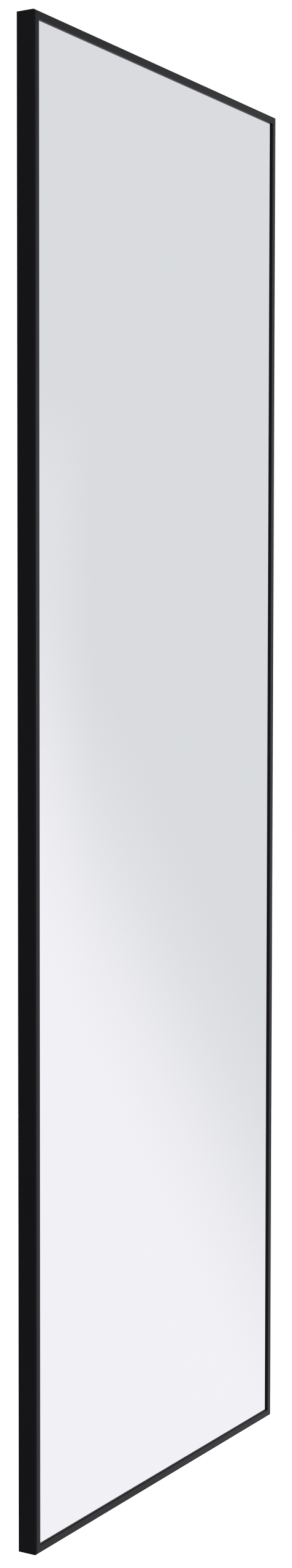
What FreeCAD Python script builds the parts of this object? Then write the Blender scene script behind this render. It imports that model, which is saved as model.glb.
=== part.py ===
import FreeCAD, Part

import math
import os
import re

import Sketcher
from FreeCAD import Placement, Rotation, Vector

# Full-length wall mirror in a thin aluminium frame.
# The frame is four mitred lengths of one section, locked by angle plates in a
# channel at the back, which also takes the hangers and the wall bumpers.
# X runs to the right seen from the front, Y back towards the wall and Z up.
# The origin is the middle of the mirror, on the plane of the wall.

# Driving sizes in millimetres, apart from counts and the angle of the curl.
SIZES = {
    # Frame section
    "frame_width": 609.6,
    "frame_height": 1828.8,
    "lip_width": 10.0,
    "lip_thickness": 2.5,
    "outer_wall": 1.6,
    "front_radius": 2.0,
    "lip_radius": 1.2,
    "rear_radius": 0.5,
    "mitre_gap": 0.1,
    "mitre_overcut": 2.0,
    # Hardware channel along the back of the section
    "channel_width": 10.0,
    "channel_floor": 1.2,
    "channel_wall": 1.4,
    "channel_lip": 1.2,
    "slot_clearance": 0.8,
    # Glass, backing board and the blocks round their edges
    "glass_thickness": 4.0,
    "glass_gap": 1.5,
    "glass_arris": 0.6,
    "board_thickness": 3.0,
    "block_length": 40.0,
    "block_margin": 150.0,
    # Spring clips between the board and the channel
    "clip_height": 3.1,
    "clip_length": 50.0,
    "clip_width": 8.0,
    "clip_strip": 0.5,
    "clip_foot": 8.0,
    "clip_crown": 10.0,
    "clip_bend": 1.5,
    "clip_margin": 120.0,
    "stile_clips": 5,
    "rail_clips": 2,
    # Corner angles and the set screws that jack them apart
    "screw_diameter": 4.0,
    "thread_clearance": 0.05,
    "key_clearance": 0.3,
    "key_corner": 1.0,
    "angle_thickness": 2.0,
    "backer_thickness": 1.2,
    "jack_gap": 1.2,
    "jack_inset": 9.0,
    "jack_tail": 9.0,
    "jack_sink": 0.4,
    # Hangers: stamped plate with a rolled eye, D-ring, nut plate and screws
    "hanger_sheet": 1.2,
    "hanger_edge": 0.6,
    "hanger_corner": 1.6,
    "hanger_neck": 4.0,
    "hanger_ear": 10.0,
    "hanger_slant": 14.0,
    "hanger_headroom": 0.2,
    "hanger_tail": 6.0,
    "eye_width": 10.0,
    "eye_curl": 300.0,
    "ring_bar": 2.4,
    "ring_edge": 0.5,
    "ring_clearance": 0.5,
    "ring_width": 18.0,
    "ring_reach": 17.0,
    "ring_corner": 2.4,
    "ring_side_gap": 6.7,
    "pan_gap": 5.2,
    "pan_pitch": 13.0,
    "pan_diameter": 7.0,
    "pan_height": 2.0,
    "pan_bevel": 0.4,
    "pan_hole_clearance": 0.2,
    "pan_tip": 0.6,
    "nut_thickness": 2.0,
    "hanger_drop": 300.0,
    # Rubber bumpers pushed into the channel
    "bumper_head": 8.6,
    "bumper_bevel": 0.5,
    "bumper_proud": 1.2,
    "bumper_fit": 0.1,
    "bumper_grip": 0.7,
    "bumper_barb": 2.2,
    "bumper_gap": 27.0,
}

# Distances inward from the outer face of a rail
SLOT_WIDTH = "(screw_diameter + 2 * slot_clearance)"
SLOT_CENTRE = "(outer_wall + channel_width / 2)"
SLOT_OUTER = f"({SLOT_CENTRE} - {SLOT_WIDTH} / 2)"
SLOT_INNER = f"({SLOT_CENTRE} + {SLOT_WIDTH} / 2)"
CHANNEL_INNER = "(outer_wall + channel_width)"
CHANNEL_EDGE = f"({CHANNEL_INNER} + channel_wall)"
KEY_OUTER = "(outer_wall + key_clearance)"
KEY_INNER = f"({CHANNEL_INNER} - key_clearance)"
EYE_CENTRE = "(outer_wall + ring_side_gap + ring_bar / 2 + ring_width / 2)"

# Distances back from the front face
GLASS_FRONT = "lip_thickness"
GLASS_BACK = f"({GLASS_FRONT} + glass_thickness)"
BOARD_BACK = f"({GLASS_BACK} + board_thickness)"
FLOOR_FRONT = f"({BOARD_BACK} + clip_height)"
FLOOR_BACK = f"({FLOOR_FRONT} + channel_floor)"
CHANNEL_DEPTH = "(backer_thickness + jack_gap + angle_thickness)"
LIPS_FRONT = f"({FLOOR_BACK} + {CHANNEL_DEPTH})"
LIPS_BACK = f"({LIPS_FRONT} + channel_lip)"
EYE_RADIUS = "(ring_bar / 2 + ring_clearance + hanger_sheet)"
RECESS = f"(2 * {EYE_RADIUS} + hanger_headroom)"
FRAME_DEPTH = f"({LIPS_BACK} + {RECESS})"
WALL_PLANE = f"({FRAME_DEPTH} + bumper_proud)"

# Edges of the section that show: the radius of each, and where it lies inward and back.
ROUNDED_EDGES = (
    ("front_radius", "0", "0"),
    ("lip_radius", "lip_width", "0"),
    ("rear_radius", "0", FRAME_DEPTH),
)

# Distances along a rail: from its end, or from the eye of a hanger
JACK_PLACE = f"({CHANNEL_EDGE} + jack_inset)"
KEY_END = f"({JACK_PLACE} + jack_tail)"
BUMPER_PLACE = f"({KEY_END} + bumper_gap + bumper_head / 2)"
PAN_NEAR = "(ring_reach + ring_bar / 2 + pan_gap + pan_diameter / 2)"
PAN_FAR = f"({PAN_NEAR} + pan_pitch)"
HANGER_END = f"({PAN_FAR} + hanger_tail)"

# A rail has its own axes: x inward from its outer face, y back from the front
# and z along it from its middle. Each side gives the turn of those axes about
# Y, where they lie across and up the mirror, and the length of the rail.
SIDES = {
    "left": (0, "-frame_width / 2 + {inward}", "{along}", "frame_height"),
    "right": (180, "frame_width / 2 - {inward}", "-{along}", "frame_height"),
    "top": (90, "{along}", "frame_height / 2 - {inward}", "frame_width"),
    "bottom": (-90, "-{along}", "-frame_height / 2 + {inward}", "frame_width"),
}
RAIL_NAMES = {"left": "left_stile", "right": "right_stile", "top": "top_rail", "bottom": "bottom_rail"}

# Each corner gives the turn of its angles about Y and its place across and up.
CORNERS = {
    "bl": (0, "-frame_width / 2", "-frame_height / 2"),
    "tl": (90, "-frame_width / 2", "frame_height / 2"),
    "tr": (180, "frame_width / 2", "frame_height / 2"),
    "br": (-90, "frame_width / 2", "-frame_height / 2"),
}

# The way up along the z of each stile, which the hangers and bumpers follow.
UPWARD = {"left": 1, "right": -1}

# How near two lengths are the same.
SAME_WITHIN = 1e-6

doc = FreeCAD.newDocument("wall_mirror")
sheet = doc.addObject("Spreadsheet::Sheet", "sizes")
for row, (alias, size) in enumerate(SIZES.items(), 1):
    sheet.set(f"A{row}", alias.replace("_", " "))
    sheet.set(f"B{row}", str(size))
    sheet.setAlias(f"B{row}", alias)
doc.recompute()


def sized(text):
    """An expression with every size name pointed at the sheet."""
    return re.sub(r"[a-z]+(_[a-z]+)+", lambda name: f"sizes.{name.group()}", text)


def value(text):
    """What an expression comes to now."""
    return float(sheet.evalExpression(sized(text)))


def bind(item, path, text):
    """Tie a property of an object to the sheet."""
    item.setExpression(path, sized(text))


def new_body(name):
    body = doc.addObject("PartDesign::Body", name)
    body.Label = name
    return body


def origin_feature(body, role):
    return next(item for item in body.Origin.OriginFeatures if item.Role == role)


def new_sketch(body, plane):
    """A sketch on one of the body's own planes."""
    sketch = body.newObject("Sketcher::SketchObject", f"{body.Name}_sketch")
    sketch.AttachmentSupport = (origin_feature(body, plane), [""])
    sketch.MapMode = "FlatFace"
    return sketch


def hold(sketch, kind, *parts, text):
    """A dimension of a sketch, tied to the sheet."""
    number = sketch.addConstraint(Sketcher.Constraint(kind, *parts, value(text)))
    bind(sketch, f"Constraints[{number}]", text)


def pin(sketch, edge, end, x, y):
    """Hold an end of an edge, or the centre of a circle, at a place."""
    hold(sketch, "DistanceX", -1, 1, edge, end, text=x)
    hold(sketch, "DistanceY", -1, 1, edge, end, text=y)


def line(sketch, start, finish, construction=False):
    ends = [Vector(value(x), value(y), 0) for x, y in (start, finish)]
    return sketch.addGeometry(Part.LineSegment(*ends), construction)


def arc(sketch, centre, radius, start_degrees, finish_degrees):
    middle = Vector(value(centre[0]), value(centre[1]), 0)
    whole = Part.Circle(middle, Vector(0, 0, 1), value(radius))
    part = Part.ArcOfCircle(whole, math.radians(start_degrees), math.radians(finish_degrees))
    return sketch.addGeometry(part, False)


def outline(sketch, corners):
    """A closed outline of straight edges through the given places."""
    following = corners[1:] + corners[:1]
    edges = [line(sketch, start, finish) for start, finish in zip(corners, following)]
    for edge, after, (x, y) in zip(edges, edges[1:] + edges[:1], corners):
        sketch.addConstraint(Sketcher.Constraint("Coincident", edge, 2, after, 1))
        pin(sketch, edge, 1, x, y)


def rectangle(sketch, x_from, x_to, y_from, y_to):
    outline(sketch, [(x_from, y_from), (x_to, y_from), (x_to, y_to), (x_from, y_to)])


def circle(sketch, x, y, diameter):
    middle = Vector(value(x), value(y), 0)
    edge = sketch.addGeometry(Part.Circle(middle, Vector(0, 0, 1), value(diameter) / 2), False)
    pin(sketch, edge, 3, x, y)
    hold(sketch, "Diameter", edge, text=diameter)


def new_feature(body, kind, sketch):
    feature = body.newObject(f"PartDesign::{kind}", f"{body.Name}_{kind.lower()}")
    feature.Profile = sketch
    return feature


def pad_both_ways(body, sketch, length):
    pad = new_feature(body, "Pad", sketch)
    pad.SideType = "Symmetric"
    bind(pad, "Length", length)
    return pad


def pad_back(body, sketch, thickness):
    """Thicken an outline drawn on the XZ plane towards the wall."""
    pad = new_feature(body, "Pad", sketch)
    pad.Reversed = True
    bind(pad, "Length", thickness)
    return pad


def cut_through(body, sketch):
    pocket = new_feature(body, "Pocket", sketch)
    pocket.SideType = "Symmetric"
    pocket.Type = "ThroughAll"
    return pocket


def spin(body, sketch, axis, angle="360"):
    turned = new_feature(body, "Revolution", sketch)
    turned.ReferenceAxis = (sketch, [axis])
    bind(turned, "Angle", angle)
    return turned


def soften(body, feature, kind, size, wanted):
    """Fillet or chamfer the edges of a feature that are wanted."""
    doc.recompute()
    names = [f"Edge{number}" for number, edge in enumerate(feature.Shape.Edges, 1) if wanted(edge)]
    dress = body.newObject(f"PartDesign::{kind}", f"{body.Name}_{kind.lower()}")
    dress.Base = (feature, names)
    bind(dress, "Radius" if kind == "Fillet" else "Size", size)
    return dress


def runs_along(edge, axis):
    """Whether an edge is straight and lies along an axis."""
    if len(edge.Vertexes) < 2:
        return False
    reach = edge.Vertexes[1].Point - edge.Vertexes[0].Point
    return same(reach.cross(axis).Length, 0) and not same(reach.Length, 0)


def same(first, second):
    return abs(first - second) < SAME_WITHIN


def repeat(body, features, length, count, reverse=False):
    """Copies of a body's features, spread evenly along its z over a length."""
    pattern = body.newObject("PartDesign::LinearPattern", f"{body.Name}_pattern")
    pattern.Originals = features
    pattern.Direction = (origin_feature(body, "Z_Axis"), [""])
    pattern.Reversed = reverse
    bind(pattern, "Length", length)
    bind(pattern, "Occurrences", count)
    body.Tip = pattern
    return pattern


def seat(body, turn, across, up, back):
    """Turn a body about Y and put it at its place in the mirror."""
    body.Placement = Placement(Vector(), Rotation(Vector(0, 1, 0), turn))
    bind(body, "Placement.Base.x", across)
    bind(body, "Placement.Base.y", f"{back} - {WALL_PLANE}")
    bind(body, "Placement.Base.z", up)


def seat_on_rail(body, side, inward="0", back="0", along="0"):
    """Put a body at a place given in the axes of a rail."""
    turn, across, up, _ = SIDES[side]
    place = {"inward": f"({inward})", "along": f"({along})"}
    seat(body, turn, across.format(**place), up.format(**place), back)


def runs_through(x, y):
    """A test for the edges along z at one corner of a section."""

    def wanted(edge):
        point = edge.Vertexes[0].Point
        return same(point.x, x) and same(point.y, y) and runs_along(edge, Vector(0, 0, 1))

    return wanted


def build_rail(side):
    """A length of the section, with a mitre at each end."""
    body = new_body(RAIL_NAMES[side])
    length = SIDES[side][3]
    section = new_sketch(body, "XY_Plane")
    outline(section, [
        ("0", "0"),
        ("lip_width", "0"),
        ("lip_width", GLASS_FRONT),
        ("outer_wall", GLASS_FRONT),
        ("outer_wall", FLOOR_FRONT),
        (CHANNEL_EDGE, FLOOR_FRONT),
        (CHANNEL_EDGE, LIPS_BACK),
        (SLOT_INNER, LIPS_BACK),
        (SLOT_INNER, LIPS_FRONT),
        (CHANNEL_INNER, LIPS_FRONT),
        (CHANNEL_INNER, FLOOR_BACK),
        ("outer_wall", FLOOR_BACK),
        ("outer_wall", LIPS_FRONT),
        (SLOT_OUTER, LIPS_FRONT),
        (SLOT_OUTER, LIPS_BACK),
        ("outer_wall", LIPS_BACK),
        ("outer_wall", FRAME_DEPTH),
        ("0", FRAME_DEPTH),
    ])
    bar = pad_both_ways(body, section, length)
    for radius, x, y in ROUNDED_EDGES:
        bar = soften(body, bar, "Fillet", radius, runs_through(value(x), value(y)))
    mitres = new_sketch(body, "XZ_Plane")
    tip = f"({length} / 2 - mitre_gap / sqrt(2))"
    inside = f"({CHANNEL_EDGE} + mitre_overcut)"
    for end in ("", "-"):
        outline(mitres, [
            ("-mitre_overcut", f"{end}({tip} + mitre_overcut)"),
            (inside, f"{end}({tip} - {inside})"),
            (inside, f"{end}({tip} + mitre_overcut)"),
        ])
    cut_through(body, mitres)
    seat_on_rail(body, side)
    return body


def panel_outline(body):
    """The rectangle that the glass and the board share, clear of the frame all round."""
    sketch = new_sketch(body, "XZ_Plane")
    half_width = "(frame_width / 2 - outer_wall - glass_gap)"
    half_height = "(frame_height / 2 - outer_wall - glass_gap)"
    rectangle(sketch, f"-{half_width}", half_width, f"-{half_height}", half_height)
    return sketch


def build_glass():
    body = new_body("mirror_glass")
    plate = pad_back(body, panel_outline(body), "glass_thickness")
    soften(body, plate, "Chamfer", "glass_arris", lambda edge: not runs_along(edge, Vector(0, 1, 0)))
    seat(body, 0, "0", "0", GLASS_FRONT)
    return body


def build_board():
    body = new_body("backing_board")
    pad_back(body, panel_outline(body), "board_thickness")
    seat(body, 0, "0", "0", GLASS_BACK)
    return body


def build_edge_blocks(name, side):
    """A pair of blocks that fill the gap between a rail and the edges of glass and board."""
    body = new_body(name)
    length = SIDES[side][3]
    section = new_sketch(body, "XY_Plane")
    rectangle(section, "0", "glass_gap", "0", "glass_thickness + board_thickness")
    block = pad_both_ways(body, section, "block_length")
    repeat(body, [block], f"{length} - 2 * block_margin", "2")
    seat_on_rail(body, side, "outer_wall", GLASS_FRONT, f"block_margin - {length} / 2")
    return body


def build_spring_clips(side, count):
    """Bowed strips with flat feet on the board and a flat crown under the channel floor."""
    body = new_body(f"spring_clips_{side}")
    length = SIDES[side][3]
    toe = "(clip_length / 2)"
    heel = f"({toe} - clip_foot)"
    crown = "(clip_crown / 2)"
    rise = "(clip_height - clip_strip)"
    strip = new_sketch(body, "YZ_Plane")
    outline(strip, [
        ("0", f"-{toe}"),
        ("0", f"-{heel}"),
        (rise, f"-{crown}"),
        (rise, crown),
        ("0", heel),
        ("0", toe),
        ("clip_strip", toe),
        ("clip_strip", heel),
        ("clip_height", crown),
        ("clip_height", f"-{crown}"),
        ("clip_strip", f"-{heel}"),
        ("clip_strip", f"-{toe}"),
    ])
    bow = pad_both_ways(body, strip, "clip_width")

    def is_bend(edge):
        reach = abs(edge.Vertexes[0].Point.z)
        return runs_along(edge, Vector(1, 0, 0)) and (same(reach, value(heel)) or same(reach, value(crown)))

    bends = soften(body, bow, "Chamfer", "clip_bend", is_bend)
    repeat(body, [bow, bends], f"{length} - 2 * clip_margin", count)
    seat_on_rail(body, side, SLOT_CENTRE, BOARD_BACK, f"clip_margin - {length} / 2")
    return body


def jack_holes(sketch, diameter):
    """A circle on each leg of a corner, where its set screw stands."""
    circle(sketch, JACK_PLACE, SLOT_CENTRE, diameter)
    circle(sketch, SLOT_CENTRE, JACK_PLACE, diameter)


def build_corner_plate(name, corner, thickness, back, threaded):
    """An angle that lies in the channels of both rails at a corner."""
    body = new_body(f"{name}_{corner}")
    sketch = new_sketch(body, "XZ_Plane")
    outline(sketch, [
        (KEY_OUTER, KEY_OUTER),
        (KEY_END, KEY_OUTER),
        (KEY_END, KEY_INNER),
        (KEY_INNER, KEY_INNER),
        (KEY_INNER, KEY_END),
        (KEY_OUTER, KEY_END),
    ])
    plate = pad_back(body, sketch, thickness)

    def is_outer_corner(edge):
        point = edge.Vertexes[0].Point
        at_crook = same(point.x, value(KEY_INNER)) and same(point.z, value(KEY_INNER))
        return runs_along(edge, Vector(0, 1, 0)) and not at_crook

    soften(body, plate, "Chamfer", "key_corner", is_outer_corner)
    if threaded:
        holes = new_sketch(body, "XZ_Plane")
        jack_holes(holes, "screw_diameter + 2 * thread_clearance")
        cut_through(body, holes)
    seat(body, *CORNERS[corner], back)
    return body


def build_set_screws(corner):
    """Headless screws through the threaded angle, with their tips on the backer."""
    body = new_body(f"corner_set_screws_{corner}")
    shanks = new_sketch(body, "XZ_Plane")
    jack_holes(shanks, "screw_diameter")
    pad_back(body, shanks, "jack_gap + angle_thickness + channel_lip - jack_sink")
    seat(body, *CORNERS[corner], f"{FLOOR_BACK} + backer_thickness")
    return body


def seat_hanger_piece(body, side, back, inward="0", below="0"):
    """Put a body on a stile, level with the eye of its hanger or below it."""
    seat_on_rail(body, side, inward, back, f"{UPWARD[side]} * (frame_height / 2 - hanger_drop - {below})")


def build_hanger_plate(side):
    """A stamped plate on the channel lips, with an ear rolled into an eye for the ring."""
    body = new_body(f"hanger_plate_{side}")
    down = -UPWARD[side]
    strip_outer = "(outer_wall + hanger_edge)"
    strip_inner = f"({CHANNEL_INNER} - hanger_edge)"
    eye_outer = f"({EYE_CENTRE} - eye_width / 2)"
    eye_inner = f"({EYE_CENTRE} + eye_width / 2)"
    sketch = new_sketch(body, "XZ_Plane")
    outline(sketch, [(x, f"{down} * {below}") for x, below in (
        (strip_outer, HANGER_END),
        (strip_inner, HANGER_END),
        (strip_inner, "(hanger_ear + hanger_slant)"),
        (eye_inner, "hanger_ear"),
        (eye_inner, "0"),
        (eye_outer, "0"),
        (eye_outer, "hanger_neck"),
        (strip_outer, "(hanger_neck + hanger_slant)"),
    )])
    plate = pad_back(body, sketch, "hanger_sheet")

    def is_free_corner(edge):
        return runs_along(edge, Vector(0, 1, 0)) and not same(edge.Vertexes[0].Point.z, 0)

    soften(body, plate, "Fillet", "hanger_corner", is_free_corner)
    holes = new_sketch(body, "XZ_Plane")
    for below in (PAN_NEAR, PAN_FAR):
        circle(holes, SLOT_CENTRE, f"{down} * {below}", "screw_diameter + 2 * pan_hole_clearance")
    cut_through(body, holes)
    strip = new_sketch(body, "XY_Plane")
    rectangle(strip, eye_outer, eye_inner, "0", "hanger_sheet")
    axis = line(strip, (eye_outer, EYE_RADIUS), (eye_inner, EYE_RADIUS), construction=True)
    pin(strip, axis, 1, eye_outer, EYE_RADIUS)
    pin(strip, axis, 2, eye_inner, EYE_RADIUS)
    eye = spin(body, strip, "Axis0", "eye_curl")
    eye.Reversed = down < 0
    seat_hanger_piece(body, side, LIPS_BACK)
    return body


def d_loop(sketch, way, margin):
    """A closed D at a margin outside the middle line of the ring: leg, round corners and bow."""
    half = "(ring_width / 2)"
    leg = f"({half} - ring_corner)"
    bow = f"(ring_reach - {half})"
    side = f"({half} + {margin})"
    corner = f"(ring_corner + {margin})"
    half_turn = 0 if way > 0 else 180

    def place(x, z):
        return f"{way} * {x}", f"{way} * {z}"

    edges = [
        line(sketch, place(leg, margin), place(f"-{leg}", margin)),
        arc(sketch, place(f"-{leg}", "-ring_corner"), corner, half_turn + 90, half_turn + 180),
        line(sketch, place(f"-{side}", "-ring_corner"), place(f"-{side}", f"-{bow}")),
        arc(sketch, place("0", f"-{bow}"), side, half_turn + 180, half_turn + 360),
        line(sketch, place(side, f"-{bow}"), place(side, "-ring_corner")),
        arc(sketch, place(leg, "-ring_corner"), corner, half_turn, half_turn + 90),
    ]
    for edge, after in zip(edges, edges[1:] + edges[:1]):
        sketch.addConstraint(Sketcher.Constraint("Tangent", edge, 2, after, 1))
    leg_edge, first_corner, first_side, bow_edge, second_side, second_corner = edges
    pin(sketch, leg_edge, 1, *place(leg, margin))
    pin(sketch, leg_edge, 2, *place(f"-{leg}", margin))
    for rounding in (first_corner, second_corner):
        hold(sketch, "Radius", rounding, text=corner)
    for upright in (first_side, second_side):
        sketch.addConstraint(Sketcher.Constraint("Vertical", upright))
    hold(sketch, "DistanceY", -1, 1, bow_edge, 3, text=place("0", f"-{bow}")[1])


def build_d_ring(side):
    """A D-ring pressed from steel plate: its straight leg lies in the eye of the hanger."""
    body = new_body(f"d_ring_{side}")
    sketch = new_sketch(body, "XZ_Plane")
    d_loop(sketch, UPWARD[side], "(ring_bar / 2)")
    d_loop(sketch, UPWARD[side], "(-ring_bar / 2)")
    ring = pad_both_ways(body, sketch, "ring_bar")
    soften(body, ring, "Chamfer", "ring_edge", lambda edge: not runs_along(edge, Vector(0, 1, 0)))
    seat_hanger_piece(body, side, f"{LIPS_BACK} + {EYE_RADIUS}", EYE_CENTRE)
    return body


def build_hanger_nut(side):
    """A threaded plate that slides in the channel behind its lips."""
    body = new_body(f"hanger_nut_{side}")
    down = -UPWARD[side]
    sketch = new_sketch(body, "XZ_Plane")
    near_end = f"{down} * ({PAN_NEAR} - hanger_tail)"
    far_end = f"{down} * {HANGER_END}"
    rectangle(sketch, KEY_OUTER, KEY_INNER, near_end, far_end)
    plate = pad_back(body, sketch, "nut_thickness")
    soften(body, plate, "Chamfer", "key_corner", lambda edge: runs_along(edge, Vector(0, 1, 0)))
    holes = new_sketch(body, "XZ_Plane")
    for below in (PAN_NEAR, PAN_FAR):
        circle(holes, SLOT_CENTRE, f"{down} * {below}", "screw_diameter + 2 * thread_clearance")
    cut_through(body, holes)
    seat_hanger_piece(body, side, f"{LIPS_FRONT} - nut_thickness")
    return body


def build_hanger_screws(side):
    """Two pan-head screws through a hanger plate into its nut plate."""
    body = new_body(f"hanger_screws_{side}")
    length = "(hanger_sheet + channel_lip + nut_thickness + pan_tip)"
    half_profile = new_sketch(body, "XY_Plane")
    outline(half_profile, [
        ("0", f"-{length}"),
        ("screw_diameter / 2", f"-{length}"),
        ("screw_diameter / 2", "0"),
        ("pan_diameter / 2", "0"),
        ("pan_diameter / 2", "pan_height - pan_bevel"),
        ("pan_diameter / 2 - pan_bevel", "pan_height"),
        ("0", "pan_height"),
    ])
    screw = spin(body, half_profile, "V_Axis")
    repeat(body, [screw], "pan_pitch", "2", reverse=UPWARD[side] > 0)
    seat_hanger_piece(body, side, f"{LIPS_BACK} + hanger_sheet", SLOT_CENTRE, PAN_NEAR)
    return body


def build_bumper(side):
    """A rubber bumper low on a stile, held by a barb behind the channel lips."""
    body = new_body(f"wall_bumper_{side}")
    height = f"({RECESS} + bumper_proud)"
    barb = f"({SLOT_WIDTH} / 2 + bumper_grip)"
    half_profile = new_sketch(body, "XY_Plane")
    outline(half_profile, [
        ("0", "-(channel_lip + bumper_barb)"),
        (barb, "-(channel_lip + bumper_barb)"),
        (barb, "-channel_lip"),
        (f"{SLOT_WIDTH} / 2 - bumper_fit", "-channel_lip"),
        (f"{SLOT_WIDTH} / 2 - bumper_fit", "0"),
        ("bumper_head / 2", "0"),
        ("bumper_head / 2", f"{height} - bumper_bevel"),
        ("bumper_head / 2 - bumper_bevel", height),
        ("0", height),
    ])
    spin(body, half_profile, "V_Axis")
    place = f"{UPWARD[side]} * ({BUMPER_PLACE} - frame_height / 2)"
    seat_on_rail(body, side, SLOT_CENTRE, LIPS_BACK, place)
    return body


def build_mirror():
    """Every piece of the mirror, as a list of bodies."""
    pieces = [build_rail(side) for side in SIDES]
    pieces += [build_glass(), build_board()]
    pieces.append(build_edge_blocks("setting_blocks", "bottom"))
    for side in ("left", "right", "top"):
        pieces.append(build_edge_blocks(f"edge_spacers_{side}", side))
    for side in SIDES:
        pieces.append(build_spring_clips(side, "stile_clips" if side in UPWARD else "rail_clips"))
    for corner in CORNERS:
        pieces.append(build_corner_plate("corner_backer", corner, "backer_thickness", FLOOR_BACK, False))
        angle_front = f"{LIPS_FRONT} - angle_thickness"
        pieces.append(build_corner_plate("corner_angle", corner, "angle_thickness", angle_front, True))
        pieces.append(build_set_screws(corner))
    for side in UPWARD:
        pieces.append(build_hanger_plate(side))
        pieces.append(build_d_ring(side))
        pieces.append(build_hanger_nut(side))
        pieces.append(build_hanger_screws(side))
        pieces.append(build_bumper(side))
    return pieces


def check(pieces):
    """Stop unless every object was computed and every piece is a sound solid."""
    failed = [item.Name for item in doc.Objects if {"Invalid", "Error"} & set(item.State)]
    if failed:
        raise RuntimeError(f"not computed: {failed}")
    for piece in pieces:
        shape = piece.Shape
        if shape.isNull() or not shape.isValid() or not shape.Solids:
            raise RuntimeError(f"unsound shape: {piece.Label}")


pieces = build_mirror()
doc.recompute()
check(pieces)
os.makedirs("parts", exist_ok=True)
for piece in pieces:
    piece.Shape.exportStep(f"parts/{piece.Label}.step")
    print(f"{piece.Label}: {len(piece.Shape.Solids)} solids, {piece.Shape.Volume:.0f} mm3")
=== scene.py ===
import math

import bpy
from bpy.props import FloatProperty, FloatVectorProperty, IntProperty, PointerProperty
from mathutils import Matrix, Vector


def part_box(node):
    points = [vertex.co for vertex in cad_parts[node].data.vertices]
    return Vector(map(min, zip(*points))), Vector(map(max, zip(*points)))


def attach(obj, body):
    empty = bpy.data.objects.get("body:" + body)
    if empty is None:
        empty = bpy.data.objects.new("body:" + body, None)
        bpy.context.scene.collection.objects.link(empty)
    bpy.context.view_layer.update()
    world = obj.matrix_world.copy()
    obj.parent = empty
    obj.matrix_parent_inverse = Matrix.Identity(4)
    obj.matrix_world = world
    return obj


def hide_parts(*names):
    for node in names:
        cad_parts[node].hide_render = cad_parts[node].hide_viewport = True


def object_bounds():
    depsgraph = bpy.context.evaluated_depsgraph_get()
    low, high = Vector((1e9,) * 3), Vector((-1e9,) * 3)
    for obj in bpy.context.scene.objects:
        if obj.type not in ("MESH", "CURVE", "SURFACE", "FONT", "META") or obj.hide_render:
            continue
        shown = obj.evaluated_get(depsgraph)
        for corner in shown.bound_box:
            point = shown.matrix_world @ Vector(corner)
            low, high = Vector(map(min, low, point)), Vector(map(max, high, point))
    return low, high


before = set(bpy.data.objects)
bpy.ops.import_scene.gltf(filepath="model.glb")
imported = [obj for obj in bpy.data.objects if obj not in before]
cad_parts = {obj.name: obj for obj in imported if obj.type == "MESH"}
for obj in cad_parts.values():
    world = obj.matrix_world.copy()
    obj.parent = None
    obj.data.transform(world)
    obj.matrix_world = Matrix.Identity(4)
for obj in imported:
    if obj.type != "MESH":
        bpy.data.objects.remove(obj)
CAD_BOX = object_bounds()

bl_info = {
    "name": "Wall Mirror",
    "version": (1, 0, 0),
    "blender": (4, 5, 0),
    "location": "View3D > Sidebar > Mirror",
    "description": "Finishes and fasteners of a full-length wall mirror in a black metal frame",
    "category": "Object",
}

MM = 0.001
QUARTER_TURN = math.pi / 2
WHITE = (1.0, 1.0, 1.0)

# Endings of the nodes' names, and nodes that are finished alike
CORNERS = ("bl", "tl", "tr", "br")
SIDES = ("left", "right")
RAIL_NODES = ("left_stile", "right_stile", "top_rail", "bottom_rail")
EDGE_BLOCK_NODES = ("setting_blocks", "edge_spacers_left", "edge_spacers_right", "edge_spacers_top")
CLIP_NODES = ("spring_clips_left", "spring_clips_right", "spring_clips_top", "spring_clips_bottom")

# Depths that the glass lies between
FRONT_OF_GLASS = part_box("mirror_glass")[0].y
BACK_OF_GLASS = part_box("mirror_glass")[1].y

# Size of the grains of each pattern, or width and length of its strands
COAT_CLOUD = 110.0 * MM
GLASS_SMUDGE = 70.0 * MM
GLASS_STREAK = (17.0 * MM, 70.0 * MM)
BOARD_MOTTLE = 20.0 * MM
PLASTIC_HAZE = 20.0 * MM
DRAW_LINE = (0.6 * MM, 17.0 * MM)
PLATE_CLOUD = 6.0 * MM
RUB_MARK = (0.4 * MM, 4.0 * MM)
ROLL_LINE = (0.45 * MM, 11.0 * MM)
TEMPER_CLOUD = 30.0 * MM
RUBBER_GRAIN = 0.25 * MM
RUBBER_BLOOM = 2.5 * MM
FLOOR_CLOUD = 800.0 * MM

# Turns, in radians about Y, of the strands of the hardboard and of the rubbing marks
FIBRE_TURNS = (0.2, 1.15, 2.3)
RUB_TURN = 0.7

# Depth of the marks in each surface
DRAW_DEPTH = 0.02 * MM
RUB_DEPTH = 0.006 * MM
ROLL_DEPTH = 0.008 * MM
RUBBER_DEPTH = 0.02 * MM

# Middle roughness and crystal size of each plating
PLATINGS = {
    "zinc_plate": (0.30, 0.9 * MM),
    "black_oxide": (0.40, 0.3 * MM),
    "hanger_zinc": (0.26, 1.4 * MM),
    "ring_nickel": (0.20, 0.5 * MM),
    "screw_zinc": (0.24, 0.4 * MM),
}

# Where the root of a thread ends and its crest starts and ends, as shares of the pitch
ROOT_END = 0.12
CREST_START = 0.47
CREST_END = 0.6

# Length over which the first turn of a thread runs in
RUN_IN = 0.05 * MM

# Rings of the cup in the tip of a set screw: share of the root's radius, and height
CUP_RINGS = ((0.5, 0.25 * MM), (0.62, 0.0))

# Start and end of the last crest of a set screw, as shares of the bevel at its top
LAST_CREST = (0.2, 0.5)

# Blunt tip of a pan screw, as a share of the root's radius, its length, and the plain neck under the head
PAN_TIP = 0.7
PAN_TIP_LENGTH = 0.3 * MM
PAN_NECK = 0.5 * MM

# Pan head: its bevel, end of its dome and flat top as shares of its radius, its upright wall as a share
# of its height, and the steps in its dome
PAN_BEVEL = 0.04
PAN_DOME = 0.38
PAN_TOP = 0.3
PAN_WALL = 0.42
PAN_STEPS = 7

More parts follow.
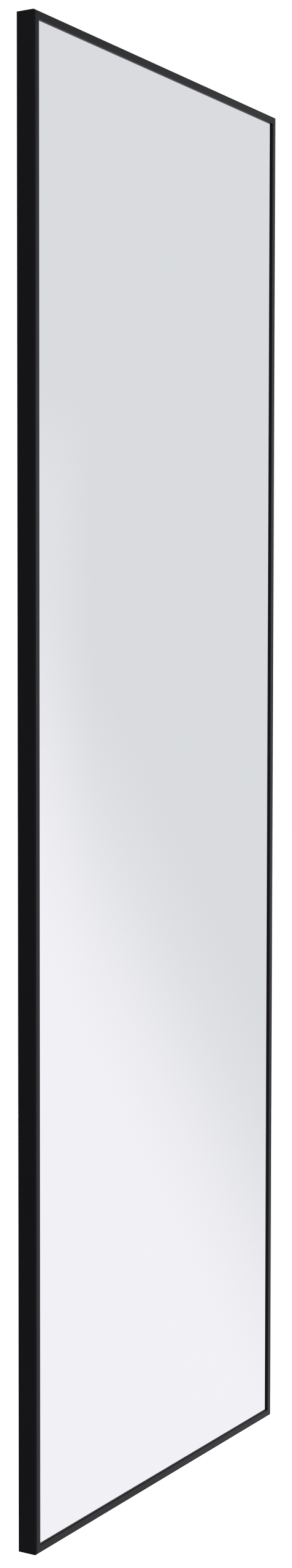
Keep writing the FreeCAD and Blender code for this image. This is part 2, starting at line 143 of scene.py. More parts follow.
# Cross recess: size of its floor as a share of its mouth, and how far a cutter stands out of the head
CROSS_TAPER = 0.4
CUT_MARGIN = 0.1 * MM

# Rings of a bumper's nose and of the dish in its face: share of the barb's or head's radius, and depth;
# and the steps in its rim
NOSE_RINGS = ((0.72, 0.0), (0.9, 0.16 * MM), (1.0, 0.5 * MM))
DISH_RINGS = ((0.62, 0.0), (0.5, 0.25 * MM), (0.1, 0.4 * MM))
RIM_STEPS = 5

# Screws stop at any turn, in radians: that of the first, and what each next one and each metre adds
FIRST_TURN = 0.6
NEXT_TURN = 1.1
TURN_PER_METRE = 37.0

# Edges between faces that meet at less than this angle are shaded smooth.
SMOOTH_ANGLE = math.radians(38)

# The surroundings are blended by heading: to the right, back into the wall and up, each from -1 to 1.
# A pair says at which heading a blend starts and at which it is full.

# The slanting line between the two fields that the glass shows, and its normal
FIELD_SLANT = (-0.5091, -0.7478, -0.4262)
FIELD_EDGE = (-0.046, 0.040)

# A faint upright glow in the upper field: its normal, the share of its first step, that step,
# the step to the lower field's colour, and the heights that it fades between
GLOW_SIDE = (-0.536, -0.842, 0.0)
GLOW_LEVEL = 0.28
GLOW_EDGE = (-0.0145, 0.010)
GLOW_FULL = (0.014, 0.09)
GLOW_TOP = (0.075, 0.13)

# The dusk over the fields, ahead
DUSK_EDGE = (0.265, 0.36)

# The flank ahead, beyond what the glass shows to the camera: on its left, below it, and its change of colour
FLANK_SIDE = (0.66, 0.3)
FLANK_BELOW = (-0.42, -0.58)
FLANK_RISE = (-0.3, 0.3)

# A window just beside what the glass shows to the camera
WINDOW_LEFT = (0.74, 0.77)
WINDOW_RIGHT = (0.81, 0.83)
WINDOW_SILL = (0.0, 0.05)
WINDOW_HEAD = (0.06, 0.11)

# The shade behind the wall plane, on the left, and the brightness over it
SHADE_SIDE = (-0.1, -0.6)
LOFT_EDGE = (0.35, 0.95)

# The change from what lies ahead of the wall plane to what lies behind it
WALL_EDGE = (-0.15, 0.3)

# Floor: width in metres, tone of its darker patches and how much the camera sees it lifted towards white
FLOOR_WIDTH = 30.0
FLOOR_PATCH = 0.98
FLOOR_LIFT = 0.35

# Name, place in metres, width in metres and power in watts of each lamp
LAMPS = (
    ("front_lamp", (-2.6, -3.4, 3.0), 2.6, 55.0),
    ("back_lamp", (2.4, 3.2, 2.6), 2.4, 50.0),
)

# Camera: width of its sensor in millimetres, and the nearest and farthest things it shows in metres
SENSOR_WIDTH = 36.0
CLIP_START = 0.05
CLIP_END = 100.0


def colour_of(name, description, default):
    """A colour that a user may change."""
    return FloatVectorProperty(
        name=name, description=description, default=default, subtype="COLOR", size=3, min=0.0, max=1.0)


def length_of(name, description, default):
    """A length in metres that a user may change."""
    return FloatProperty(
        name=name, description=description, default=default, min=0.0, precision=5,
        subtype="DISTANCE", unit="LENGTH")


def share_of(name, description, default):
    """A number from 0 to 1 that a user may change."""
    return FloatProperty(
        name=name, description=description, default=default, min=0.0, max=1.0, subtype="FACTOR")


def strength_of(name, description, default):
    """A strength of light that a user may change."""
    return FloatProperty(name=name, description=description, default=default, min=0.0)


class FrameFinish(bpy.types.PropertyGroup):
    """The powder coat of the four rails."""

    deep: colour_of("Deep black", "Darkest tone of the coat", (0.0026, 0.0027, 0.0030))
    pale: colour_of("Pale black", "Lightest tone of the coat", (0.0038, 0.0039, 0.0043))
    gloss: share_of("Gloss", "Level of the coat's specular reflection", 0.22)
    tint: colour_of("Tint", "Tint of the coat's specular reflection", (0.88, 0.875, 1.0))
    roughness: share_of("Roughness", "Middle roughness of the coat", 0.36)
    peel: length_of("Orange peel", "Size of the ripples in the coat", 0.9 * MM)
    relief: length_of("Relief", "Height of the ripples in the coat", 0.004 * MM)


class GlassFinish(bpy.types.PropertyGroup):
    """The silvered glass."""

    silver: colour_of("Silver", "Tint of the reflection", (0.93, 0.935, 0.94))
    edge: colour_of("Edge", "Green of the seamed edges", (0.30, 0.46, 0.40))
    paint: colour_of("Paint", "Protective paint behind the silver", (0.17, 0.18, 0.19))
    skin: length_of("Skin", "Depth over which the front and the paint are told from the edge", 0.05 * MM)


class BackFinish(bpy.types.PropertyGroup):
    """The hardboard back and the plastic blocks round the glass."""

    dark_fibre: colour_of("Dark fibre", "Darkest fibre of the hardboard", (0.095, 0.052, 0.027))
    light_fibre: colour_of("Light fibre", "Lightest fibre of the hardboard", (0.30, 0.185, 0.10))
    fibre_width: length_of("Fibre width", "Width of a strand of fibres", 0.7 * MM)
    fibre_length: length_of("Fibre length", "Length of a strand of fibres", 3.2 * MM)
    mesh_pitch: length_of("Mesh", "Pitch of the screen pattern pressed into the back", 1.6 * MM)
    mesh_depth: length_of("Mesh depth", "Depth of the screen pattern", 0.12 * MM)
    block: colour_of("Blocks", "Plastic of the setting blocks and spacers", (0.028, 0.028, 0.030))


class HardwareFinish(bpy.types.PropertyGroup):
    """The metal and rubber of the hidden hardware."""

    zinc: colour_of("Zinc", "Bright zinc plate", (0.60, 0.62, 0.65))
    zinc_dull: colour_of("Dull zinc", "Zinc plate where it has dulled", (0.42, 0.44, 0.46))
    nickel: colour_of("Nickel", "Nickel plate of the rings", (0.67, 0.64, 0.59))
    nickel_dull: colour_of("Dull nickel", "Nickel plate where it has dulled", (0.50, 0.47, 0.42))
    spring: colour_of("Spring steel", "Tempered strip of the clips", (0.30, 0.31, 0.34))
    spring_blue: colour_of("Temper blue", "Temper colour on the strip", (0.17, 0.19, 0.25))
    oxide: colour_of("Black oxide", "Set screws", (0.055, 0.054, 0.056))
    oxide_worn: colour_of("Worn oxide", "Set screws where the key has rubbed", (0.16, 0.155, 0.15))
    rubber: colour_of("Rubber", "Wall bumpers", (0.016, 0.016, 0.017))
    rubber_bloom: colour_of("Bloom", "Grey bloom on the rubber", (0.026, 0.026, 0.027))


class FastenerSizes(bpy.types.PropertyGroup):
    """Details of the screws that the solids leave plain."""

    diameter: length_of("Diameter", "Outer diameter of the thread", 4.0 * MM)
    pitch: length_of("Pitch", "Pitch of the thread", 0.7 * MM)
    thread: length_of("Thread depth", "Depth of the thread", 0.38 * MM)
    socket: length_of("Socket", "Width across the flats of the hexagon socket", 2.0 * MM)
    socket_depth: length_of("Socket depth", "Depth of the hexagon socket", 1.8 * MM)
    head: length_of("Head", "Diameter of the pan heads", 7.0 * MM)
    head_height: length_of("Head height", "Height of the pan heads", 2.0 * MM)
    cross: length_of("Cross", "Length of the arms of the cross recess", 4.3 * MM)
    cross_width: length_of("Cross width", "Width of the arms of the cross recess", 1.05 * MM)
    cross_depth: length_of("Cross depth", "Depth of the cross recess", 1.35 * MM)
    rounds: IntProperty(name="Sides", description="Sides of a turned piece", default=40, min=12, max=96)


class BumperSizes(bpy.types.PropertyGroup):
    """Details of the wall bumpers that the solids leave plain."""

    barb: length_of("Barb", "Radius of the barb inside the channel", 3.5 * MM)
    barb_length: length_of("Barb length", "Length of the barb", 2.2 * MM)
    barb_bevel: length_of("Barb bevel", "Bevel of the barb's catching edge", 0.1 * MM)
    neck: length_of("Neck", "Radius of the neck in the slot of the channel", 2.7 * MM)
    neck_length: length_of("Neck length", "Length of the neck", 1.2 * MM)
    head_bevel: length_of("Head bevel", "Bevel of the head where it meets the channel", 0.2 * MM)
    rim: length_of("Rim", "Rounding of the rim of the face", 0.8 * MM)


class StageSettings(bpy.types.PropertyGroup):
    """Camera, floor, daylight and the surroundings that the mirror shows."""

    camera: FloatVectorProperty(
        name="Camera", description="Place of the camera", default=(-2.5658, -1.5098, 0.1432),
        subtype="TRANSLATION", unit="LENGTH")
    aim: FloatVectorProperty(
        name="Aim", description="Turn of the camera", default=(1.52252, -0.00137, -1.03835),
        subtype="EULER", unit="ROTATION")
    lens: FloatProperty(
        name="Lens", description="Focal length in millimetres", default=52.6, min=1.0, unit="CAMERA")
    floor_drop: length_of("Floor drop", "Height of the mirror above the floor", 0.30)
    floor: colour_of("Floor", "Colour of the floor", (0.93, 0.93, 0.93))
    daylight: strength_of("Daylight", "Strength of the light from all round", 0.8)
    high: colour_of("High field", "Surroundings in the upper part of the glass", (0.745, 0.757, 0.784))
    low: colour_of("Low field", "Surroundings in the lower part of the glass", (0.945, 0.932, 0.972))
    dusk: colour_of("Dusk", "Surroundings above what the glass shows", (0.15, 0.152, 0.158))
    window: strength_of("Window", "Strength of the window beside the fields", 11.0)
    flank_low: colour_of("Low flank", "Lower surroundings to the left and below, ahead", (0.54, 0.545, 0.56))
    flank_high: colour_of("High flank", "Upper surroundings to the left, ahead", (0.38, 0.385, 0.40))
    shade: colour_of("Shade", "Surroundings behind the wall plane, to the left", (0.22, 0.22, 0.225))
    bright: colour_of("Bright", "Surroundings behind the wall plane elsewhere", (0.82, 0.82, 0.83))


class Varying:
    """A number that changes over a surface; arithmetic on it adds Math nodes."""

    def __init__(self, tree, socket):
        self.tree = tree
        self.socket = socket

    def maths(self, operation, *terms):
        """What a Math node makes of the terms."""
        node = add_node(self.tree, "ShaderNodeMath", {"operation": operation}, dict(enumerate(terms)))
        return Varying(self.tree, node.outputs[0])

    def __add__(self, other):
        return self.maths("ADD", self, other)

    def __sub__(self, other):
        return self.maths("SUBTRACT", self, other)

    def __rsub__(self, other):
        return self.maths("SUBTRACT", other, self)

    def __mul__(self, other):
        return self.maths("MULTIPLY", self, other)

    def __truediv__(self, other):
        return self.maths("DIVIDE", self, other)

    def __lt__(self, other):
        return self.maths("LESS_THAN", self, other)

    def __gt__(self, other):
        return self.maths("GREATER_THAN", self, other)

    __radd__ = __add__
    __rmul__ = __mul__

    def sine(self):
        return self.maths("SINE", self)

    def larger(self, other):
        return self.maths("MAXIMUM", self, other)

    def rise(self, start, end):
        """A smooth step from 0 at the start to 1 at the end, which may be the lower of the two."""
        settings = {"interpolation_type": "SMOOTHSTEP"}
        inputs = {"Value": self, "From Min": start, "From Max": end}
        node = add_node(self.tree, "ShaderNodeMapRange", settings, inputs)
        return Varying(self.tree, node.outputs["Result"])

    def blend(self, first, second):
        """The first colour where this is 0 and the second where it is 1."""
        node = add_node(self.tree, "ShaderNodeMix", {"data_type": "RGBA"}, {0: self, 6: first, 7: second})
        return node.outputs[2]


def add_node(tree, kind, settings=None, inputs=None):
    """A node with its settings made first, then the values or links of its sockets."""
    node = tree.nodes.new(kind)
    for name, setting in (settings or {}).items():
        setattr(node, name, setting)
    for key, given in (inputs or {}).items():
        socket = node.inputs[key]
        source = getattr(given, "socket", given)
        if isinstance(source, bpy.types.NodeSocket):
            tree.links.new(source, socket)
        elif socket.type == "RGBA" and len(source) == 3:
            socket.default_value = (*source, 1.0)
        else:
            socket.default_value = source
    return node


class Finish:
    """A material under way: its tree, its surface shader and the patterns it reads."""

    def __init__(self, name, **constants):
        self.material = bpy.data.materials.new(name)
        self.material.use_nodes = True
        self.tree = self.material.node_tree
        self.surface = self.tree.nodes["Principled BSDF"]
        self.place = add_node(self.tree, "ShaderNodeTexCoord").outputs["Object"]
        for socket, constant in constants.items():
            self.surface.inputs[socket.replace("_", " ")].default_value = constant

    def axis(self, letter):
        """How far a point lies along X, Y or Z."""
        node = add_node(self.tree, "ShaderNodeSeparateXYZ", inputs={0: self.place})
        return Varying(self.tree, node.outputs[letter])

    def noise(self, grain, detail=2.0, rough=0.5, place=None):
        """Soft noise with grains of about this size, at an object's own place or another one."""
        inputs = {"Vector": place or self.place, "Scale": 1.0 / grain, "Detail": detail, "Roughness": rough}
        node = add_node(self.tree, "ShaderNodeTexNoise", {"noise_dimensions": "3D"}, inputs)
        return Varying(self.tree, node.outputs[0])

    def strands(self, width, length, turn=0.0, detail=2.0):
        """Soft noise in strands of this width and length, which lie along Z or turned from it about Y."""
        inputs = {"Vector": self.place, "Scale": (width, width, length), "Rotation": (0.0, turn, 0.0)}
        node = add_node(self.tree, "ShaderNodeMapping", {"vector_type": "TEXTURE"}, inputs)
        return self.noise(1.0, detail, place=node.outputs["Vector"])

    def cells(self, grain):
        """The shade of each cell of a crystalline pattern."""
        inputs = {"Vector": self.place, "Scale": 1.0 / grain}
        node = add_node(self.tree, "ShaderNodeTexVoronoi", {"feature": "F1"}, inputs)
        split = add_node(self.tree, "ShaderNodeSeparateColor", inputs={0: node.outputs["Color"]})
        return Varying(self.tree, split.outputs[0])

    def feed(self, **sockets):
        """Link varying values and colours to the surface's sockets."""
        for name, given in sockets.items():
            source = getattr(given, "socket", given)
            self.tree.links.new(source, self.surface.inputs[name.replace("_", " ")])

    def relief(self, height, depth):
        """Bump the surface by a varying height; a height of 1 is this depth in metres."""
        node = add_node(self.tree, "ShaderNodeBump", inputs={"Height": height, "Distance": depth})
        self.tree.links.new(node.outputs["Normal"], self.surface.inputs["Normal"])


def black_coat(look):
    """Satin black powder coat with a fine orange peel."""
    finish = Finish("black_powder_coat", Specular_IOR_Level=look.gloss, Specular_Tint=(*look.tint, 1.0))
    peel = finish.noise(look.peel)
    speck = finish.noise(0.3 * look.peel, detail=1.0)
    cloud = finish.noise(COAT_CLOUD, detail=3.0)
    finish.feed(
        Base_Color=cloud.blend(look.deep, look.pale),
        Roughness=look.roughness - 0.05 + 0.07 * cloud + 0.05 * speck,
    )
    finish.relief(peel + 0.3 * speck, look.relief)
    return finish.material


def silvered_glass(look):
    """Silver seen through the front, green glass at the edges and grey paint behind."""
    finish = Finish("silvered_glass")
    depth = finish.axis("Y")
    silver = depth < FRONT_OF_GLASS + look.skin
    paint = depth > BACK_OF_GLASS - look.skin
    smudge = finish.noise(GLASS_SMUDGE, detail=3.0).rise(0.55, 0.9)
    streak = finish.strands(*GLASS_STREAK).rise(0.4, 0.9)
    body = paint.blend(look.edge, look.paint)
    finish.feed(
        Base_Color=silver.blend(body, look.silver),
        Metallic=silver,
        Roughness=(1.0 - silver) * (0.12 + 0.4 * paint) + silver * (0.004 * smudge + 0.002 * streak),
    )
    return finish.material


def hardboard(look):
    """Pressed brown fibres with the screen pattern of the rough side."""
    finish = Finish("hardboard", Specular_IOR_Level=0.25)
    layers = [finish.strands(look.fibre_width, look.fibre_length, turn, 1.0) for turn in FIBRE_TURNS]
    fleck = (sum(layers) / len(layers)).rise(0.36, 0.64)
    mottle = finish.noise(BOARD_MOTTLE, detail=5.0, rough=0.6)
    turns = 2.0 * math.pi / look.mesh_pitch
    mesh = (finish.axis("X") * turns).sine() * (finish.axis("Z") * turns).sine()
    tone = 0.45 * fleck + 0.45 * mottle + 0.07 * mesh
    finish.feed(
        Base_Color=tone.blend(look.dark_fibre, look.light_fibre),
        Roughness=0.62 + 0.2 * fleck,
    )
    finish.relief(0.5 + 0.3 * mesh + 0.35 * fleck, look.mesh_depth)
    return finish.material


def moulded_plastic(look):
    """Matt extruded plastic with faint draw lines."""
    finish = Finish("moulded_plastic", Specular_IOR_Level=0.4)
    lines = finish.strands(*DRAW_LINE)
    haze = finish.noise(PLASTIC_HAZE, detail=3.0)
    dull = tuple(min(1.0, 1.8 * part) for part in look.block)
    finish.feed(
        Base_Color=haze.blend(look.block, dull),
        Roughness=0.42 + 0.16 * lines,
    )
    finish.relief(lines, DRAW_DEPTH)
    return finish.material


def plated_steel(name, bright, dull):
    """Plated steel: crystalline shades, soft clouds and fine rubbing marks."""
    rough, crystal = PLATINGS[name]
    finish = Finish(name, Metallic=1.0)
    spangle = finish.cells(crystal)
    cloud = finish.noise(PLATE_CLOUD, detail=3.0)
    scratch = finish.strands(*RUB_MARK, RUB_TURN).rise(0.5, 0.75)
    wear = 0.3 * spangle + 0.5 * cloud + 0.2 * scratch
    finish.feed(
        Base_Color=wear.blend(bright, dull),
        Roughness=rough - 0.06 + 0.08 * spangle + 0.12 * cloud + 0.08 * scratch,
    )
    finish.relief(scratch + 0.4 * cloud, RUB_DEPTH)
    return finish.material


def tempered_strip(look):
    """Rolled spring steel with a temper colour that comes and goes."""
    finish = Finish("tempered_strip", Metallic=1.0)
    rolled = finish.strands(*ROLL_LINE)
    temper = finish.noise(TEMPER_CLOUD).rise(0.35, 0.7)
    finish.feed(
        Base_Color=temper.blend(look.spring, look.spring_blue),
        Roughness=0.26 + 0.16 * rolled,
    )
    finish.relief(rolled, ROLL_DEPTH)
    return finish.material


def bumper_rubber(look):
    """Matt rubber with a fine grain and a grey bloom."""
    finish = Finish("bumper_rubber", Specular_IOR_Level=0.3)
    grain = finish.noise(RUBBER_GRAIN)
    bloom = finish.noise(RUBBER_BLOOM, detail=3.0).rise(0.35, 0.75)
    finish.feed(
        Base_Color=bloom.blend(look.rubber, look.rubber_bloom),
        Roughness=0.62 + 0.18 * bloom + 0.1 * grain,
    )
    finish.relief(grain, RUBBER_DEPTH)
    return finish.material


def dress(piece, material):
    """Give a piece or a CAD node one material all over."""
    mesh = piece.data
    if not mesh.materials:
        mesh.materials.append(None)
    for slot in piece.material_slots:
        slot.material = material


def dress_nodes(material, *nodes):
    """Give each of these CAD nodes one material all over."""
    for node in nodes:
        dress(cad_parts[node], material)


def clear_selection():
    """Return to object mode with nothing selected."""
    if bpy.context.mode != "OBJECT":
        bpy.ops.object.mode_set(mode="OBJECT")
    bpy.ops.object.select_all(action="DESELECT")


def turned(name, profile, sides):
    """A solid of revolution about Z, drawn up ring by ring through (radius, height) pairs."""
    clear_selection()
    (radius, height), *rings = profile
    bpy.ops.mesh.primitive_circle_add(
        vertices=sides, radius=radius, fill_type="NGON", location=(0.0, 0.0, height))
    piece = bpy.context.object
    piece.name = name
    bpy.ops.object.transform_apply(location=True, rotation=True, scale=True)
    bpy.ops.object.mode_set(mode="EDIT")
    bpy.ops.mesh.select_all(action="SELECT")
    for next_radius, next_height in rings:
        rise = (0.0, 0.0, next_height - height)
        bpy.ops.mesh.extrude_region_move(TRANSFORM_OT_translate={"value": rise})
        share = next_radius / radius
        bpy.ops.transform.resize(value=(share, share, 1.0), center_override=(0.0, 0.0, next_height))
        radius, height = next_radius, next_height
    bpy.ops.mesh.select_all(action="SELECT")
    bpy.ops.mesh.normals_make_consistent(inside=False)
    bpy.ops.object.mode_set(mode="OBJECT")
    return piece


def thread_rings(low, high, size):
    """Radius and height of the crests and roots of a thread between two heights."""
    turns = max(1, int((high - low) / size.pitch))
    pitch = (high - low) / turns
    crest = size.diameter / 2
    root = crest - size.thread
    rings = []
    for turn in range(turns):
        foot = low + turn * pitch
        rings += [(root, foot), (root, foot + ROOT_END * pitch)]
        rings += [(crest, foot + CREST_START * pitch), (crest, foot + CREST_END * pitch)]
    return rings


def quarter_round(steps):
    """Cosine and sine at each step of a quarter of a turn, its start and end included."""
    angles = [step / steps * QUARTER_TURN for step in range(steps + 1)]
    return [(math.cos(angle), math.sin(angle)) for angle in angles]


def cut_away(piece, cutter):
    """Take the cutter's shape out of a piece."""
    clear_selection()
    cut = piece.modifiers.new("recess", "BOOLEAN")
    cut.operation = "DIFFERENCE"
    cut.solver = "EXACT"
    cut.object = cutter
    bpy.context.view_layer.objects.active = piece
    piece.select_set(True)
    bpy.ops.object.modifier_apply(modifier=cut.name)
    bpy.data.objects.remove(cutter)


def set_on_back(model, name, places):
    """Copies of a model with its Z turned to the back, at their places, as one piece."""
    copies = []
    for number, place in enumerate(places):
        copy = model.copy()
        copy.data = model.data.copy()
        bpy.context.scene.collection.objects.link(copy)
        spin = Matrix.Rotation(FIRST_TURN + NEXT_TURN * number + TURN_PER_METRE * place.x, 4, "Y")
        copy.matrix_world = Matrix.Translation(place) @ spin @ Matrix.Rotation(-QUARTER_TURN, 4, "X")
        copies.append(copy)
    clear_selection()
    for copy in copies:
        copy.select_set(True)
    bpy.context.view_layer.objects.active = copies[0]
    bpy.ops.object.transform_apply(location=True, rotation=True, scale=True)
    if len(copies) > 1:
        bpy.ops.object.join()
    piece = bpy.context.object
    piece.name = name
    bpy.ops.object.shade_smooth_by_angle(angle=SMOOTH_ANGLE)
    return piece


def stand_for(piece, node, material):
    """Let a piece replace a CAD node of the mirror."""
    dress(piece, material)
    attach(piece, "mirror")
    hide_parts(node)


class WALLMIRROR_OT_black_frame(bpy.types.Operator):
    """Coat the four rails"""

    bl_idname = "wall_mirror.black_frame"
    bl_label = "Black Frame"

    def execute(self, context):
        dress_nodes(black_coat(context.scene.mirror_frame), *RAIL_NODES)
        return {"FINISHED"}


class WALLMIRROR_OT_silvered_glass(bpy.types.Operator):
    """Silver the glass"""

    bl_idname = "wall_mirror.silvered_glass"
    bl_label = "Silvered Glass"

    def execute(self, context):
        dress_nodes(silvered_glass(context.scene.mirror_glass), "mirror_glass")
        return {"FINISHED"}


class WALLMIRROR_OT_backing(bpy.types.Operator):
    """Finish the hardboard and the plastic blocks round the glass"""

    bl_idname = "wall_mirror.backing"
    bl_label = "Backing"

    def execute(self, context):
        look = context.scene.mirror_back
        dress_nodes(hardboard(look), "backing_board")
        dress_nodes(moulded_plastic(look), *EDGE_BLOCK_NODES)
        return {"FINISHED"}


class WALLMIRROR_OT_spring_clips(bpy.types.Operator):
    """Finish the bowed strips that press the board forward"""

    bl_idname = "wall_mirror.spring_clips"
    bl_label = "Spring Clips"

    def execute(self, context):
        dress_nodes(tempered_strip(context.scene.mirror_hardware), *CLIP_NODES)
        return {"FINISHED"}


class WALLMIRROR_OT_corner_plates(bpy.types.Operator):
    """Plate the angles in the corners and the nut plates of the hangers"""

    bl_idname = "wall_mirror.corner_plates"
    bl_label = "Corner Plates"

    def execute(self, context):
        look = context.scene.mirror_hardware
        zinc = plated_steel("zinc_plate", look.zinc, look.zinc_dull)
        for corner in CORNERS:
            dress_nodes(zinc, f"corner_angle_{corner}", f"corner_backer_{corner}")
        dress_nodes(zinc, *(f"hanger_nut_{side}" for side in SIDES))
        return {"FINISHED"}


class WALLMIRROR_OT_set_screws(bpy.types.Operator):
    """Model the socket set screws that lock the corners"""

    bl_idname = "wall_mirror.set_screws"
    bl_label = "Set Screws"

    def execute(self, context):
        look = context.scene.mirror_hardware
        size = context.scene.mirror_fasteners
        oxide = plated_steel("black_oxide", look.oxide, look.oxide_worn)
        low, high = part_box("corner_set_screws_bl")
        model = self.screw(size, high.y - low.y)
        for corner in CORNERS:
            node = f"corner_set_screws_{corner}"
            places = self.places(node, corner, size.diameter / 2)
            piece = set_on_back(model, f"socket_screws_{corner}", places)
            stand_for(piece, node, oxide)
        bpy.data.objects.remove(model)
        return {"FINISHED"}

    def screw(self, size, length):
        """A headless screw with a cupped tip and a hexagon socket."""
        crest = size.diameter / 2
        root = crest - size.thread
        bevel = size.thread
        top = length - bevel
        profile = [(share * root, height) for share, height in CUP_RINGS]
        profile.append((root, bevel))
        profile += thread_rings(bevel + RUN_IN, top, size)
        last_crest = [(crest, top + share * bevel) for share in LAST_CREST]
        profile += [(root, top), *last_crest, (root, length)]
        screw = turned("set_screw", profile, size.rounds)
        clear_selection()
        corner_radius = size.socket / math.sqrt(3)
        bpy.ops.mesh.primitive_cylinder_add(
            vertices=6, radius=corner_radius, depth=2 * size.socket_depth, location=(0.0, 0.0, length))
        cut_away(screw, bpy.context.object)
        return screw

    def places(self, node, corner, radius):
        """Where the tips of the two screws of a corner stand, one on each leg of its angle."""
        low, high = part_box(node)
        left, right = low.x + radius, high.x - radius
        bottom, top = low.z + radius, high.z - radius
        if corner in ("bl", "tr"):
            pairs = ((left, top), (right, bottom))
        else:
            pairs = ((left, bottom), (right, top))
        return [Vector((x, low.y, z)) for x, z in pairs]


class WALLMIRROR_OT_hangers(bpy.types.Operator):
    """Plate the hanger plates and their rings"""

    bl_idname = "wall_mirror.hangers"
    bl_label = "Hangers"

    def execute(self, context):
        look = context.scene.mirror_hardware
        plate = plated_steel("hanger_zinc", look.zinc, look.zinc_dull)
        nickel = plated_steel("ring_nickel", look.nickel, look.nickel_dull)
        dress_nodes(plate, *(f"hanger_plate_{side}" for side in SIDES))
        dress_nodes(nickel, *(f"d_ring_{side}" for side in SIDES))
        return {"FINISHED"}


class WALLMIRROR_OT_hanger_screws(bpy.types.Operator):
    """Model the pan-head screws of the hangers"""

    bl_idname = "wall_mirror.hanger_screws"
    bl_label = "Hanger Screws"

    def execute(self, context):
        look = context.scene.mirror_hardware
        size = context.scene.mirror_fasteners
        zinc = plated_steel("screw_zinc", look.zinc, look.zinc_dull)
        low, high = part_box("hanger_screws_left")
        seat = high.y - size.head_height
        model = self.screw(size, seat - low.y)
        for side in SIDES:
            node = f"hanger_screws_{side}"
            piece = set_on_back(model, f"pan_screws_{side}", self.places(node, size.head / 2, seat))
            stand_for(piece, node, zinc)
        bpy.data.objects.remove(model)
        return {"FINISHED"}

    def screw(self, size, shank):
        """A pan head with a cross recess on a threaded shank; the underside of the head is at 0."""
        root = size.diameter / 2 - size.thread
        rim = size.head / 2
        tip_end = PAN_TIP_LENGTH - shank
        profile = [(PAN_TIP * root, -shank), (root, tip_end)]
        profile += thread_rings(tip_end + RUN_IN, -PAN_NECK, size)
        profile += [(root, -PAN_NECK), (root, 0.0)]
        profile += [((1.0 - PAN_BEVEL) * rim, 0.0), (rim, PAN_BEVEL * rim)]
        wall = PAN_WALL * size.head_height
        dome = size.head_height - wall
        for cosine, sine in quarter_round(PAN_STEPS)[:-1]:
            profile.append((rim * (PAN_DOME + (1.0 - PAN_DOME) * cosine), wall + dome * sine))
        profile.append((PAN_TOP * rim, size.head_height))
        screw = turned("pan_screw", profile, size.rounds)
        for turn in (0.0, QUARTER_TURN):
            cut_away(screw, self.arm(size, turn))
        return screw

    def arm(self, size, turn):
        """A bar that tapers towards its lower end, to sink one arm pair of the cross."""
        clear_selection()
        top = size.head_height + CUT_MARGIN
        bottom = size.head_height - size.cross_depth
        middle = (top + bottom) / 2
        bpy.ops.mesh.primitive_cube_add(size=1.0, location=(0.0, 0.0, middle))
        bar = bpy.context.object
        bar.dimensions = (size.cross, size.cross_width, top - bottom)
        bar.rotation_euler.z = turn
        bpy.ops.object.transform_apply(location=True, rotation=True, scale=True)
        bpy.ops.object.mode_set(mode="EDIT")
        bpy.ops.mesh.select_mode(type="VERT")
        bpy.ops.mesh.select_all(action="DESELECT")
        bpy.ops.object.mode_set(mode="OBJECT")
        for corner in bar.data.vertices:
            corner.select = corner.co.z < middle
        bpy.ops.object.mode_set(mode="EDIT")
        bpy.ops.transform.resize(value=(CROSS_TAPER, CROSS_TAPER, 1.0), center_override=(0.0, 0.0, bottom))
        bpy.ops.object.mode_set(mode="OBJECT")
        return bar

    def places(self, node, radius, seat):
        """Where the heads of the two screws of a hanger sit, one above the other."""
        low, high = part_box(node)
        middle = (low.x + high.x) / 2
        return [Vector((middle, seat, z)) for z in (low.z + radius, high.z - radius)]


class WALLMIRROR_OT_wall_bumpers(bpy.types.Operator):
    """Model the rubber bumpers at the foot of the stiles"""

    bl_idname = "wall_mirror.wall_bumpers"
    bl_label = "Wall Bumpers"

    def execute(self, context):
        size = context.scene.mirror_bumpers
        sides = context.scene.mirror_fasteners.rounds
        rubber = bumper_rubber(context.scene.mirror_hardware)
        for side in SIDES:
            node = f"wall_bumper_{side}"
            low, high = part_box(node)
            model = self.bumper(size, high.y - low.y, (high.x - low.x) / 2, sides)
            place = Vector(((low.x + high.x) / 2, low.y, (low.z + high.z) / 2))
            piece = set_on_back(model, f"rubber_bumper_{side}", [place])
            bpy.data.objects.remove(model)
            stand_for(piece, node, rubber)
        return {"FINISHED"}

    def bumper(self, size, length, head, sides):
        """A barb, a neck in the slot of the channel and a head with a rounded rim and a dished face."""
        neck_low = size.barb_length
        neck_high = neck_low + size.neck_length
        profile = [(share * size.barb, height) for share, height in NOSE_RINGS]
        profile += [(size.barb, neck_low - size.barb_bevel), (size.barb - size.barb_bevel, neck_low)]
        profile += [(size.neck, neck_low), (size.neck, neck_high)]
        profile += [(head - size.head_bevel, neck_high), (head, neck_high + size.head_bevel)]
        for cosine, sine in quarter_round(RIM_STEPS):
            profile.append((head - size.rim * (1 - cosine), length - size.rim * (1 - sine)))
        profile += [(share * head, length - depth) for share, depth in DISH_RINGS]
        return turned("bumper", profile, sides)


